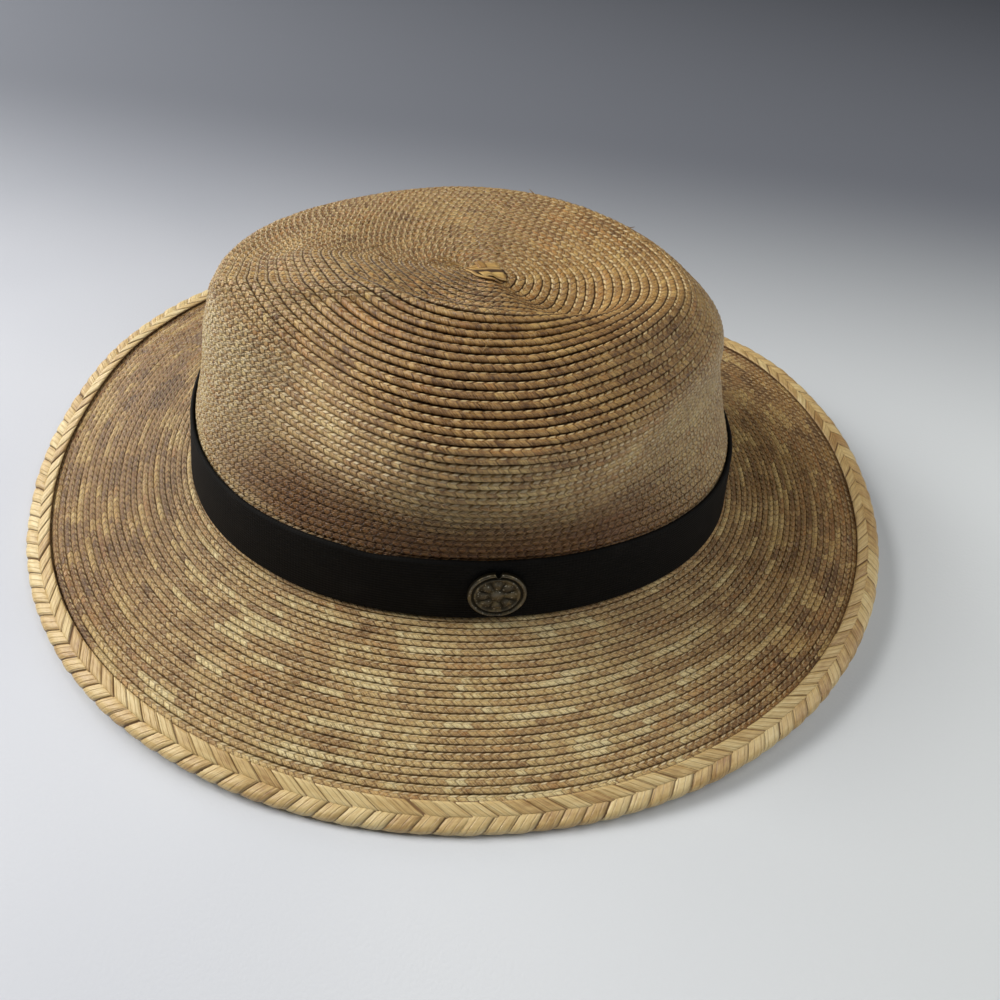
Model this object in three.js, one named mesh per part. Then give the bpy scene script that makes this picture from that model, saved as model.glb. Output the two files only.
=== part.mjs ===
// Palm-leaf hat of sewn braid: one hollow straw body, a plait folded over its rim,
// a black elastic band round the crown and a metal medallion on the band.
// Millimetres, +Z up. The hat stands on z = 0, with +X to the right of its shown side and +Y to the back.
import * as THREE from 'three';

// Driving sizes
const sectors = 72;
const strawWall = 2;
const clearance = 0.3;
const footHalfLength = 101;
const footHalfWidth = 85.5;
const brimWidth = 63.4;
const brimRings = 6;
const footTurn = 1.6;
const bandHeight = 24;
const bandThickness = 1.6;
const bandLift = 0.5;
const bandCorner = 0.6;
const bandTopHalfLength = 97.1;
const bandTopHalfWidth = 83.1;
const plaitWidth = 9;
const plaitWall = 1.2;
const plaitFoot = 2.2;
const plaitRound = 1;
const plaitLeastTurn = 0.3;
const medallionBearing = 10.6;
const medallionRadius = 9;
const medallionSides = 48;

// Brim round the compass, in degrees: 0 at the near side, 90 at the right, 180 at the back.
// join is the height of the crown's foot, lift the height of the rim's underside above the table.
const brimTable = [
  { bearing: -176, join: 34.1, lift: 0 },
  { bearing: -150, join: 33.9, lift: 11.4 },
  { bearing: -130, join: 30.7, lift: 18.2 },
  { bearing: -110, join: 26.2, lift: 14.2 },
  { bearing: -90, join: 22.1, lift: 4.8 },
  { bearing: -70, join: 19.8, lift: 0 },
  { bearing: -58, join: 19.6, lift: 0 },
  { bearing: -30, join: 22.3, lift: 2.1 },
  { bearing: -4, join: 26.2, lift: 0 },
  { bearing: 14, join: 27.9, lift: 0 },
  { bearing: 30, join: 28, lift: 2 },
  { bearing: 60, join: 25.5, lift: 7.4 },
  { bearing: 90, join: 22.7, lift: 14.1 },
  { bearing: 105, join: 22.5, lift: 17.7 },
  { bearing: 120, join: 23.6, lift: 19 },
  { bearing: 140, join: 26.8, lift: 13.5 },
  { bearing: 160, join: 30.7, lift: 3.6 },
  { bearing: 172, join: 32.7, lift: 0 },
];

// Crown sections from just above the band to the tip. Each is an oval ring round the crown:
// how far it reaches to the four sides and its height at each, then how far the two front corners
// are folded in and raised. The left fold makes the sharp crease between the wall and the top.
const crownColumns = [
  'left', 'right', 'front', 'back', 'zLeft', 'zRight', 'zFront', 'zBack',
  'foldLeft', 'riseLeft', 'foldRight', 'riseRight',
];
const crownTable = [
  [93.7, 94.3, 83.5, 84.5, 58.3, 58.4, 63, 67.1, 7.5, 1, 6, 0],
  [90.7, 90.6, 84.6, 82.4, 72.3, 71.4, 76.2, 77.7, 14.8, 3.4, 10, 0.5],
  [85.9, 87.7, 82.3, 77.5, 85.1, 84, 90.6, 87.4, 16.6, 2.5, 8.3, 1],
  [82, 78.9, 71.5, 65, 93.1, 94.9, 98.8, 94.1, 15.1, 0.8, 6.6, 1],
  [66.9, 65.9, 57.2, 53.4, 96.3, 102.2, 106.8, 102, 10.6, 3.2, 2, 2.2],
  [48, 51.5, 44.5, 38.5, 100.8, 102.2, 110.3, 102.5, 3.9, 4.7, -1, -0.4],
  [25.5, 33, 31.7, 20.3, 101.8, 100.5, 106.7, 101.7, 0.4, 3, -3, -4.5],
  [6, 14.3, 19, 0, 102.8, 102.2, 105.4, 102, 0, 1.5, -1.5, -2.5],
].map((row) => Object.fromEntries(row.map((value, i) => [crownColumns[i], value])));
const foldPlaces = {
  foldLeft: { bearing: -42, spread: 48 },
  riseLeft: { bearing: -62, spread: 48 },
  foldRight: { bearing: 60, spread: 48 },
  riseRight: { bearing: 60, spread: 48 },
};
const crownTip = new THREE.Vector3(4, -9, 103);
const ringsPerSection = 2;

// Medallion face from its centre to its edge: height above the back, and how deep its petals are
const medallionTable = [
  { reach: 0, height: 1.5, petal: 0 },
  { reach: 1.6, height: 1.5, petal: 0 },
  { reach: 2.6, height: 1.1, petal: 0.15 },
  { reach: 4.2, height: 1.1, petal: 0.4 },
  { reach: 5.8, height: 1, petal: 0.2 },
  { reach: 6.5, height: 0.9, petal: 0 },
  { reach: 7.2, height: 1.6, petal: 0 },
  { reach: 8.4, height: 1.6, petal: 0 },
  { reach: 9, height: 1, petal: 0 },
];
const medallionPetals = 8;
const medallionNotch = 0.9;
const medallionNotchStart = 0.98;

// Slopes for a smooth curve through points that keeps its level stretches level
function levelKeepingSlopes(xs, ys) {
  const count = xs.length;
  const slopes = new Array(count).fill(0);
  const rise = (i) => (ys[i + 1] - ys[i]) / (xs[i + 1] - xs[i]);
  for (let i = 1; i < count - 1; i += 1) {
    const before = rise(i - 1);
    const after = rise(i);
    if (before * after > 0) {
      const stepBefore = xs[i] - xs[i - 1];
      const stepAfter = xs[i + 1] - xs[i];
      const weightBefore = 2 * stepAfter + stepBefore;
      const weightAfter = stepAfter + 2 * stepBefore;
      slopes[i] = (weightBefore + weightAfter) / (weightBefore / before + weightAfter / after);
    }
  }
  slopes[0] = rise(0);
  slopes[count - 1] = rise(count - 2);
  return slopes;
}

function smoothCurve(xs, ys) {
  const slopes = levelKeepingSlopes(xs, ys);
  return (x) => {
    let i = 0;
    while (i < xs.length - 2 && x > xs[i + 1]) {
      i += 1;
    }
    const step = xs[i + 1] - xs[i];
    const t = (x - xs[i]) / step;
    const start = ys[i] * (1 + 2 * t) * (1 - t) ** 2 + slopes[i] * step * t * (1 - t) ** 2;
    const end = ys[i + 1] * t * t * (3 - 2 * t) + slopes[i + 1] * step * t * t * (t - 1);
    return start + end;
  };
}

function roundTheCompass(column) {
  const turns = [-360, 0, 360];
  const xs = turns.flatMap((turn) => brimTable.map((row) => row.bearing + turn));
  const ys = turns.flatMap(() => brimTable.map((row) => row[column]));
  return smoothCurve(xs, ys);
}

const joinHeight = roundTheCompass('join');
const rimLift = roundTheCompass('lift');
const bearings = Array.from({ length: sectors }, (_, i) => -180 + (360 * i) / sectors);

// The oval of the crown's foot at a bearing: the point, and the level direction straight out of it
function ovalAt(bearing, halfLength, halfWidth) {
  const angle = THREE.MathUtils.degToRad(bearing);
  const point = new THREE.Vector3(halfLength * Math.sin(angle), -halfWidth * Math.cos(angle), 0);
  const out = new THREE.Vector3(Math.sin(angle) / halfLength, -Math.cos(angle) / halfWidth, 0);
  return { point, out: out.normalize() };
}

const plaitHalf = strawWall / 2 + clearance + plaitWall;
const brimEnd = brimWidth - plaitWall - clearance;

// The brim's slope that brings the level foot of the plait to its height above the table
function brimSlope(bearing) {
  const across = brimWidth - plaitFoot;
  const down = strawWall / 2 + plaitHalf;
  const fall = (rimLift(bearing) - joinHeight(bearing)) / Math.hypot(across, down);
  return Math.asin(fall) + Math.atan2(down, across);
}

// A point of the brim: along its slope from the crown's foot, and above its top face
function onBrim(bearing, along, above) {
  const { point, out } = ovalAt(bearing, footHalfLength, footHalfWidth);
  const slope = brimSlope(bearing);
  const level = along * Math.cos(slope) - above * Math.sin(slope);
  const height = joinHeight(bearing) + along * Math.sin(slope) + above * Math.cos(slope);
  return point.addScaledVector(out, level).setZ(height);
}

// A point of the crown's wall where the band lies: share of the band's height, and distance out of the wall
function onBandWall(bearing, share, outward) {
  const foot = ovalAt(bearing, footHalfLength, footHalfWidth);
  const top = ovalAt(bearing, bandTopHalfLength, bandTopHalfWidth);
  const point = foot.point.lerp(top.point, share).addScaledVector(foot.out, outward);
  return point.setZ(joinHeight(bearing) + share * bandHeight);
}

// How strongly a front corner's fold works at a bearing: fully at its middle, fading out on both sides
function foldShare(name, bearing) {
  const { bearing: centre, spread } = foldPlaces[name];
  const away = Math.abs(bearing - centre) / spread;
  return away < 1 ? Math.cos((Math.PI / 2) * away) ** 2 : 0;
}

// A point of one crown section: the oval ring, then its front corners folded in and raised
function onSection(row, bearing) {
  const angle = THREE.MathUtils.degToRad(bearing);
  const centre = new THREE.Vector2((row.right - row.left) / 2, (row.back - row.front) / 2);
  const spoke = new THREE.Vector2(
    ((row.right + row.left) / 2) * Math.sin(angle),
    (-(row.back + row.front) / 2) * Math.cos(angle),
  );
  const fold = row.foldLeft * foldShare('foldLeft', bearing) + row.foldRight * foldShare('foldRight', bearing);
  const rise = row.riseLeft * foldShare('riseLeft', bearing) + row.riseRight * foldShare('riseRight', bearing);
  spoke.setLength(spoke.length() - fold);
  const mean = (row.zLeft + row.zRight + row.zFront + row.zBack) / 4;
  const tiltBack = ((row.zFront - row.zBack) / 2) * Math.cos(angle);
  const tiltSide = ((row.zRight - row.zLeft) / 2) * Math.sin(angle);
  const saddle = ((row.zFront + row.zBack - row.zLeft - row.zRight) / 4) * Math.cos(2 * angle);
  const height = mean + tiltBack + tiltSide + saddle + rise;
  return new THREE.Vector3(centre.x + spoke.x, centre.y + spoke.y, height);
}

// One meridian of the body's outer face, from just below the tip down the crown and out to the rim
function outerMeridian(bearing) {
  const stops = [onBandWall(bearing, 1, 0), ...crownTable.map((row) => onSection(row, bearing)), crownTip];
  const numbers = stops.map((_, i) => i);
  const x = smoothCurve(numbers, stops.map((stop) => stop.x));
  const y = smoothCurve(numbers, stops.map((stop) => stop.y));
  const z = smoothCurve(numbers, stops.map((stop) => stop.z));
  const points = [];
  for (let ring = (stops.length - 1) * ringsPerSection - 1; ring >= 0; ring -= 1) {
    const t = ring / ringsPerSection;
    points.push(new THREE.Vector3(x(t), y(t), z(t)));
  }
  points.push(onBandWall(bearing, 2 / 3, 0), onBandWall(bearing, 1 / 3, 0));
  const turnTop = onBandWall(bearing, footTurn / bandHeight, 0);
  const turnEnd = onBrim(bearing, footTurn, 0);
  const corner = onBrim(bearing, 0, 0);
  const turnMiddle = turnTop.clone().add(turnEnd).lerp(corner.clone().multiplyScalar(2), 0.5).multiplyScalar(0.5);
  points.push(turnTop, turnMiddle, turnEnd);
  for (let ring = 1; ring <= brimRings; ring += 1) {
    points.push(onBrim(bearing, footTurn + ((brimEnd - footTurn) * ring) / brimRings, 0));
  }
  return points;
}

// The same grid of points one wall thickness further in, along the face's normals
function innerFace(outer) {
  return outer.map((meridian, i) => meridian.map((point, j) => {
    const before = outer[(i + sectors - 1) % sectors][j];
    const after = outer[(i + 1) % sectors][j];
    const higher = j === 0 ? crownTip : meridian[j - 1];
    const lower = meridian[Math.min(j + 1, meridian.length - 1)];
    const normal = new THREE.Vector3().subVectors(lower, higher).cross(after.clone().sub(before));
    return point.clone().addScaledVector(normal.normalize(), -strawWall);
  }));
}

function geometryFrom(points, faces) {
  const geometry = new THREE.BufferGeometry();
  geometry.setAttribute('position', new THREE.Float32BufferAttribute(points.flatMap((p) => p.toArray()), 3));
  geometry.setIndex(faces.flat());
  geometry.computeVertexNormals();
  return geometry;
}

// Skin over columns of points that go once round the hat, with a pole at the start and end of every column
function poleToPoleGeometry(columns, firstPole, lastPole) {
  const rows = columns[0].length;
  const points = [...columns.flat(), firstPole, lastPole];
  const first = columns.length * rows;
  const last = first + 1;
  const faces = [];
  columns.forEach((_, i) => {
    const here = i * rows;
    const next = ((i + 1) % columns.length) * rows;
    faces.push([first, here, next]);
    for (let j = 0; j < rows - 1; j += 1) {
      faces.push([here + j, here + j + 1, next + j + 1], [here + j, next + j + 1, next + j]);
    }
    faces.push([here + rows - 1, last, next + rows - 1]);
  });
  return geometryFrom(points, faces);
}

// Skin over closed sections that go once round the hat
function hoopGeometry(sections) {
  const rows = sections[0].length;
  const faces = [];
  sections.forEach((_, i) => {
    const here = i * rows;
    const next = ((i + 1) % sections.length) * rows;
    for (let j = 0; j < rows; j += 1) {
      const k = (j + 1) % rows;
      faces.push([here + j, here + k, next + k], [here + j, next + k, next + j]);
    }
  });
  return geometryFrom(sections.flat(), faces);
}

// Crown and brim, one continuous sewn braid: outer face, then the rim, then the inner face back to the tip
function strawBodyGeometry() {
  const outer = bearings.map(outerMeridian);
  const inner = innerFace(outer);
  const innerTip = crownTip.clone().setZ(crownTip.z - strawWall);
  const columns = outer.map((meridian, i) => [...meridian, ...inner[i].slice().reverse()]);
  return poleToPoleGeometry(columns, crownTip, innerTip);
}

// Plait folded over the rim: a channel round the brim's edge, level underneath where it can touch the table
function edgeBraidSection(bearing) {
  const footRise = Math.max(plaitLeastTurn, plaitFoot * Math.tan(-brimSlope(bearing)));
  const inside = strawWall / 2 + clearance;
  const outline = [
    [-plaitWidth, plaitHalf],
    [-plaitRound, plaitHalf],
    [0, plaitHalf - plaitRound],
    [0, -plaitHalf + footRise],
    [-plaitFoot, -plaitHalf],
    [-plaitWidth, -plaitHalf],
    [-plaitWidth, -inside],
    [-plaitWall, -inside],
    [-plaitWall, inside],
    [-plaitWidth, inside],
  ];
  return outline.map(([out, up]) => onBrim(bearing, brimWidth + out, up - strawWall / 2));
}

// Elastic band round the foot of the crown, a loop with softened edges
function bandSection(bearing) {
  const low = bandLift / bandHeight;
  const high = 1;
  const soft = bandCorner / bandHeight;
  const inner = clearance;
  const outer = clearance + bandThickness;
  const outline = [
    [high - soft, inner],
    [high, inner + bandCorner],
    [high, outer - bandCorner],
    [high - soft, outer],
    [low + soft, outer],
    [low, outer - bandCorner],
    [low, inner + bandCorner],
    [low + soft, inner],
  ];
  return outline.map(([share, out]) => onBandWall(bearing, share, out));
}

// Medallion: a cast disc with a raised rim, a groove, eight worn petals and a thread notch above and below
function medallionGeometry() {
  const face = medallionTable.slice(1);
  const columns = [];
  for (let side = 0; side < medallionSides; side += 1) {
    const angle = (2 * Math.PI * side) / medallionSides;
    const towardNotch = Math.max(0, Math.abs(Math.sin(angle)) - medallionNotchStart);
    const notch = (medallionNotch * towardNotch) / (1 - medallionNotchStart);
    const petal = Math.cos(medallionPetals * angle) / 2;
    const column = face.map((row) => {
      const reach = Math.min(row.reach, medallionRadius - notch);
      return new THREE.Vector3(reach * Math.cos(angle), reach * Math.sin(angle), row.height + petal * row.petal);
    });
    const edge = column[column.length - 1];
    column.push(new THREE.Vector3(edge.x, edge.y, 0));
    columns.push(column);
  }
  const top = new THREE.Vector3(0, 0, medallionTable[0].height);
  return poleToPoleGeometry(columns, top, new THREE.Vector3(0, 0, 0));
}

function placeMedallion(mesh) {
  const middle = 0.5 + bandLift / bandHeight / 2;
  const seat = clearance + bandThickness + clearance;
  const centre = onBandWall(medallionBearing, middle, seat);
  const { out } = ovalAt(medallionBearing, footHalfLength, footHalfWidth);
  const up = onBandWall(medallionBearing, 1, 0).sub(onBandWall(medallionBearing, 0, 0)).normalize();
  const across = new THREE.Vector3().crossVectors(up, out).normalize();
  const facing = new THREE.Vector3().crossVectors(across, up);
  mesh.matrix.makeBasis(across, up, facing).setPosition(centre);
  mesh.matrix.decompose(mesh.position, mesh.quaternion, mesh.scale);
}

const hat = new THREE.Group();

function addPiece(name, geometry, colour, roughness, metalness) {
  const material = new THREE.MeshStandardMaterial({ color: colour, roughness, metalness });
  const mesh = new THREE.Mesh(geometry, material);
  mesh.name = name;
  hat.add(mesh);
  return mesh;
}

addPiece('straw_body', strawBodyGeometry(), 0xb98f5e, 0.7, 0);
addPiece('edge_braid', hoopGeometry(bearings.map(edgeBraidSection)), 0xd6bd88, 0.55, 0);
addPiece('hat_band', hoopGeometry(bearings.map(bandSection)), 0x151413, 0.9, 0);
placeMedallion(addPiece('medallion', medallionGeometry(), 0x77705c, 0.45, 0.9));

// The origin is the middle of the hat's underside
const reach = new THREE.Box3().setFromObject(hat, true);
const middle = reach.getCenter(new THREE.Vector3());
hat.position.set(-middle.x, -middle.y, -reach.min.z);

export default hat;
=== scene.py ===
import math

import bpy
import numpy as np
from mathutils import Matrix, Vector


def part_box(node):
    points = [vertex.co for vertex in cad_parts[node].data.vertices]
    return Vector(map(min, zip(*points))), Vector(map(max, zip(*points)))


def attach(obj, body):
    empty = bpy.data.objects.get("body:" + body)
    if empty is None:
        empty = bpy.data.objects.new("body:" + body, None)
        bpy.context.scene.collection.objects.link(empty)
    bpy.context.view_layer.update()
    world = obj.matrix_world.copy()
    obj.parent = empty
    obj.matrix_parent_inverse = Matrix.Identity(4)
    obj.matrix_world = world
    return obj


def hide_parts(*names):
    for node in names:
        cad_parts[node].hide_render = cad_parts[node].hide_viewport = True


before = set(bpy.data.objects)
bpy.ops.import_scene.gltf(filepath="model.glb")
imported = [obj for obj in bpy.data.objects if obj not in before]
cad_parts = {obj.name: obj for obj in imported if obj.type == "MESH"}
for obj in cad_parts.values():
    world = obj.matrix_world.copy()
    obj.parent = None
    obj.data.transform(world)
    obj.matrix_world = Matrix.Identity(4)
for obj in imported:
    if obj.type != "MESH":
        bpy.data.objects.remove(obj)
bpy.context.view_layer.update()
bpy.ops.object.select_all(action="DESELECT")

# The hat stands on a pale cloth-covered table and is seen from the front, from above,
# by a camera that leans a little to one side.
camera_place = Vector((0.0131, -0.2340, 0.2300))
camera_ahead = Vector((0.0102, 0.7080, -0.7061)).normalized()
camera_up = Vector((-0.1152, 0.7023, 0.7025))
camera_lens = 28.8
film_width = 36.0

camera_data = bpy.data.cameras.new("camera")
camera_data.lens = camera_lens
camera_data.sensor_width = film_width
camera_data.clip_start = 0.01
camera = bpy.data.objects.new("camera", camera_data)
bpy.context.scene.collection.objects.link(camera)
across_view = camera_ahead.cross(camera_up).normalized()
camera_up = across_view.cross(camera_ahead)
camera_turn = Matrix((across_view, camera_up, -camera_ahead)).transposed()
camera.matrix_world = Matrix.Translation(camera_place) @ camera_turn.to_4x4()
bpy.context.scene.camera = camera


# A number or colour that changes over a surface, so that a finish reads as plain arithmetic
class Tone:
    def __init__(self, finish, socket):
        self.finish = finish
        self.socket = socket

    def maths(self, operation, *others):
        inputs = {i: value for i, value in enumerate((self, *others))}
        return self.finish.node("ShaderNodeMath", {"operation": operation}, inputs)

    def __add__(self, other):
        return self.maths("ADD", other)

    __radd__ = __add__

    def __sub__(self, other):
        return self.maths("SUBTRACT", other)

    def __rsub__(self, other):
        return (self * -1) + other

    def __mul__(self, other):
        return self.maths("MULTIPLY", other)

    __rmul__ = __mul__

    def between(self, low, high):
        settings = {"interpolation_type": "SMOOTHSTEP"}
        inputs = {"Value": self, "From Min": low, "From Max": high}
        return self.finish.node("ShaderNodeMapRange", settings, inputs)


# A material under construction: every node of it comes from one method
class Finish:
    def __init__(self, name):
        self.material = bpy.data.materials.new(name)
        self.material.use_nodes = True
        self.tree = self.material.node_tree
        self.tree.nodes.clear()

    def node(self, kind, settings=None, inputs=None, output=0):
        made = self.tree.nodes.new(kind)
        for name, value in (settings or {}).items():
            if name == "stops":
                ramp = made.color_ramp
                while len(ramp.elements) < len(value):
                    ramp.elements.new(0.5)
                for element, (place, colour) in zip(ramp.elements, value):
                    element.position = place
                    element.color = (*colour, 1)
            else:
                setattr(made, name, value)
        for name, value in (inputs or {}).items():
            if isinstance(value, Tone):
                self.tree.links.new(value.socket, made.inputs[name])
            elif value is not None:
                made.inputs[name].default_value = value
        return Tone(self, made.outputs[output])

    def noise(self, place, scale, detail=2.0, roughness=0.5):
        inputs = {"Vector": place, "Scale": scale, "Detail": detail, "Roughness": roughness}
        return self.node("ShaderNodeTexNoise", None, inputs)

    def bump(self, strength, distance, height):
        inputs = {"Strength": strength, "Distance": distance, "Height": height}
        return self.node("ShaderNodeBump", None, inputs)

    def mix(self, share, first, second, blend="MIX"):
        settings = {"data_type": "RGBA", "blend_type": blend}
        return self.node("ShaderNodeMix", settings, {0: share, 6: first, 7: second}, 2)

    def uv(self, name):
        return self.node("ShaderNodeUVMap", {"uv_map": name})

    def object_place(self):
        return self.node("ShaderNodeTexCoord", output=3)

    def place(self, x, y, z=0.0):
        return self.node("ShaderNodeCombineXYZ", None, {0: x, 1: y, 2: z})

    def parts(self, vector):
        split = self.node("ShaderNodeSeparateXYZ", None, {0: vector}).socket.node
        return [Tone(self, split.outputs[i]) for i in range(3)]

    def surface(self, inputs, normal=None):
        shader = self.node("ShaderNodeBsdfPrincipled", None, {**inputs, "Normal": normal})
        end = self.tree.nodes.new("ShaderNodeOutputMaterial")
        self.tree.links.new(shader.socket, end.inputs["Surface"])
        return self.material


bpy.ops.mesh.primitive_plane_add(size=8, location=(0, 0, 0))
table = bpy.context.object
table.name = "table"
bpy.ops.object.select_all(action="DESELECT")
# Painted light and shade on the cloth: soft random patches of painted shade, painted light towards the
# right, and painted shade darkening it towards the back
cloth_patch_shade = (0.60, 0.635, 0.72, 1)
cloth_clear = (0.655, 0.69, 0.77, 1)
cloth_painted_light = (0.74, 0.79, 0.83, 1)
cloth_far_shade = (0.15, 0.165, 0.20, 1)
cloth = Finish("table_cloth")
table_place = cloth.object_place()
cloth_thread = cloth.noise(table_place, 900)
cloth_shade_patches = cloth.noise(table_place, 5)
cloth_right, cloth_back, _ = cloth.parts(table_place)
cloth_colour = cloth.mix(cloth_shade_patches.between(0.35, 0.65), cloth_patch_shade, cloth_clear)
cloth_colour = cloth.mix(cloth_right.between(-0.25, 0.3), cloth_colour, cloth_painted_light)
cloth_colour = cloth.mix(cloth_back.between(-0.05, 0.40), cloth_colour, cloth_far_shade)
cloth_bump = cloth.bump(0.12, 0.0005, cloth_thread)
table.data.materials.append(cloth.surface({"Base Color": cloth_colour, "Roughness": 0.9}, cloth_bump))


def soft_light(name, place, aim, side, power, colour):
    data = bpy.data.lights.new(name, "AREA")
    data.shape = "SQUARE"
    data.size = side
    data.energy = power
    data.color = colour
    light = bpy.data.objects.new(name, data)
    bpy.context.scene.collection.objects.link(light)
    light.location = place
    light.rotation_euler = (Vector(aim) - Vector(place)).to_track_quat("-Z", "Y").to_euler()


warm_light = (1.0, 0.96, 0.90)
hat_heart = (0, 0, 0.04)
soft_light("window", (-1.0, 0.05, 0.95), hat_heart, 0.7, 18.5, warm_light)
soft_light("side_window", (-1.0, 0.60, 0.42), (0, 0, 0.07), 0.5, 5, (1.0, 0.97, 0.92))
soft_light("ceiling", (0.6, 0.0, 1.3), hat_heart, 0.7, 5, warm_light)
soft_light("far_window", (1.1, -0.1, 0.6), hat_heart, 0.5, 3.5, warm_light)
world = bpy.data.worlds.new("room_air")
world.use_nodes = True
room_air = world.node_tree.nodes["Background"]
room_air.inputs["Color"].default_value = (0.80, 0.87, 1.0, 1)
room_air.inputs["Strength"].default_value = 0.04
bpy.context.scene.world = world
bpy.context.scene.view_settings.view_transform = "Standard"


# Crown and brim: one long flat braid of split palm leaf, wound round and sewn to itself from
# the tip of the crown down to the rim, each round lapping over the next one below it.
# Sizes are in millimetres, and the braid is laid over the solid's own form.
mm = 0.001
foot_half_length = 101
foot_half_width = 85.5
brim_width = 63.4
brim_end = 61.9
brim_first_row = 2.05
straw_wall = 2
band_height = 24
band_top_half_length = 97.1
band_top_half_width = 83.1
plait_foot = 2.2
plait_half = 2.5

# Round the compass, in degrees from the near side: the height of the crown's foot, then how
# far the rim is lifted off the table
brim_table = np.array([
    [-176, 34.1, 0],
    [-150, 33.9, 11.4],
    [-130, 30.7, 18.2],
    [-110, 26.2, 14.2],
    [-90, 22.1, 4.8],
    [-70, 19.8, 0],
    [-58, 19.6, 0],
    [-30, 22.3, 2.1],
    [-4, 26.2, 0],
    [14, 27.9, 0],
    [30, 28, 2],
    [60, 25.5, 7.4],
    [90, 22.7, 14.1],
    [105, 22.5, 17.7],
    [120, 23.6, 19],
    [140, 26.8, 13.5],
    [160, 30.7, 3.6],
    [172, 32.7, 0],
])

# Crown sections from above the band to the tip: reach to the left, right, front and back, the
# height at each, then how far the two front corners are folded in and raised
crown_table = np.array([
    [93.7, 94.3, 83.5, 84.5, 58.3, 58.4, 63, 67.1, 7.5, 1, 6, 0],
    [90.7, 90.6, 84.6, 82.4, 72.3, 71.4, 76.2, 77.7, 14.8, 3.4, 10, 0.5],
    [85.9, 87.7, 82.3, 77.5, 85.1, 84, 90.6, 87.4, 16.6, 2.5, 8.3, 1],
    [82, 78.9, 71.5, 65, 93.1, 94.9, 98.8, 94.1, 15.1, 0.8, 6.6, 1],
    [66.9, 65.9, 57.2, 53.4, 96.3, 102.2, 106.8, 102, 10.6, 3.2, 2, 2.2],
    [48, 51.5, 44.5, 38.5, 100.8, 102.2, 110.3, 102.5, 3.9, 4.7, -1, -0.4],
    [25.5, 33, 31.7, 20.3, 101.8, 100.5, 106.7, 101.7, 0.4, 3, -3, -4.5],
    [6, 14.3, 19, 0, 102.8, 102.2, 105.4, 102, 0, 1.5, -1.5, -2.5],
])
fold_places = [-42, -62, 60, 60]
fold_spread = 48
crown_tip = (4, -9, 103)

# The hat's foot oval is centred on the band's box
band_low, band_high = [np.array(corner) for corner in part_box("hat_band")]
hat_middle = (band_low + band_high) / 2 * [1, 1, 0]


def smooth_curve(knots, values, at):
    """A smooth curve through rows of values, level wherever the rows are level or turn back."""
    spread = (-1,) + (1,) * (values.ndim - 1)
    steps = np.diff(knots).reshape(spread)
    rises = np.diff(values, axis=0) / steps
    before, after = rises[:-1], rises[1:]
    weight_before = 2 * steps[1:] + steps[:-1]
    weight_after = steps[1:] + 2 * steps[:-1]
    same_way = before * after > 0
    safe_before = np.where(same_way, before, 1)
    safe_after = np.where(same_way, after, 1)
    mean = (weight_before + weight_after) / (weight_before / safe_before + weight_after / safe_after)
    slopes = np.concatenate([rises[:1], np.where(same_way, mean, 0), rises[-1:]])
    i = np.clip(np.searchsorted(knots, at) - 1, 0, len(knots) - 2)
    step = (knots[i + 1] - knots[i]).reshape(spread)
    t = (at - knots[i]).reshape(spread) / step
    start = values[i] * (1 + 2 * t) * (1 - t) ** 2 + slopes[i] * step * t * (1 - t) ** 2
    end = values[i + 1] * t * t * (3 - 2 * t) + slopes[i + 1] * step * t * t * (t - 1)
    return start + end


compass_knots = np.concatenate([brim_table[:, 0] + turn for turn in (-360, 0, 360)])
compass_values = np.tile(brim_table[:, 1:], (3, 1))


def round_the_compass(bearing):
    """Foot height of the crown and lift of the rim at an array of bearings."""
    turned = (bearing + 180) % 360 - 180
    return smooth_curve(compass_knots, compass_values, turned).T


def oval_at(bearing, half_length, half_width):
    angle = np.radians(bearing)
    sine, cosine = np.sin(angle), np.cos(angle)
    point = np.stack([half_length * sine, -half_width * cosine, 0 * angle], -1)
    out = np.stack([sine / half_length, -cosine / half_width, 0 * angle], -1)
    return point, out / np.linalg.norm(out, axis=-1, keepdims=True)


def on_brim(bearing, along, above):
    """Points of the brim: along its slope from the crown's foot, and above its top face."""
    join, lift = round_the_compass(bearing)
    across = brim_width - plait_foot
    down = straw_wall / 2 + plait_half
    slope = np.arcsin((lift - join) / math.hypot(across, down)) + math.atan2(down, across)
    point, out = oval_at(bearing, foot_half_length, foot_half_width)
    level = along * np.cos(slope) - above * np.sin(slope)
    point = point + out * level[:, None]
    point[:, 2] = join + along * np.sin(slope) + above * np.cos(slope)
    return point


def on_band_wall(bearing, share, outward):
    """Points of the crown's wall where the band lies."""
    foot, out = oval_at(bearing, foot_half_length, foot_half_width)
    top, _ = oval_at(bearing, band_top_half_length, band_top_half_width)
    point = foot + (top - foot) * np.reshape(share, (-1, 1)) + out * np.reshape(outward, (-1, 1))
    point[:, 2] = round_the_compass(bearing)[0] + share * band_height
    return point


def on_section(row, bearing):
    """Points of one crown section, with its front corners folded in and raised."""
    left, right, front, back, z_left, z_right, z_front, z_back = row[:8]
    angle = np.radians(bearing)
    away = np.abs(bearing[:, None] - fold_places) / fold_spread
    shares = np.where(away < 1, np.cos(np.pi / 2 * np.minimum(away, 1)) ** 2, 0) * row[8:]
    spoke = np.stack([(left + right) / 2 * np.sin(angle), -(front + back) / 2 * np.cos(angle)], -1)
    length = np.linalg.norm(spoke, axis=1)
    spoke *= ((length - shares[:, 0] - shares[:, 2]) / length)[:, None]
    height = (z_left + z_right + z_front + z_back) / 4 + shares[:, 1] + shares[:, 3]
    height = height + (z_front - z_back) / 2 * np.cos(angle) + (z_right - z_left) / 2 * np.sin(angle)
    height = height + (z_front + z_back - z_left - z_right) / 4 * np.cos(2 * angle)
    return np.stack([(right - left) / 2 + spoke[:, 0], (back - front) / 2 + spoke[:, 1], height], -1)


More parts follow.
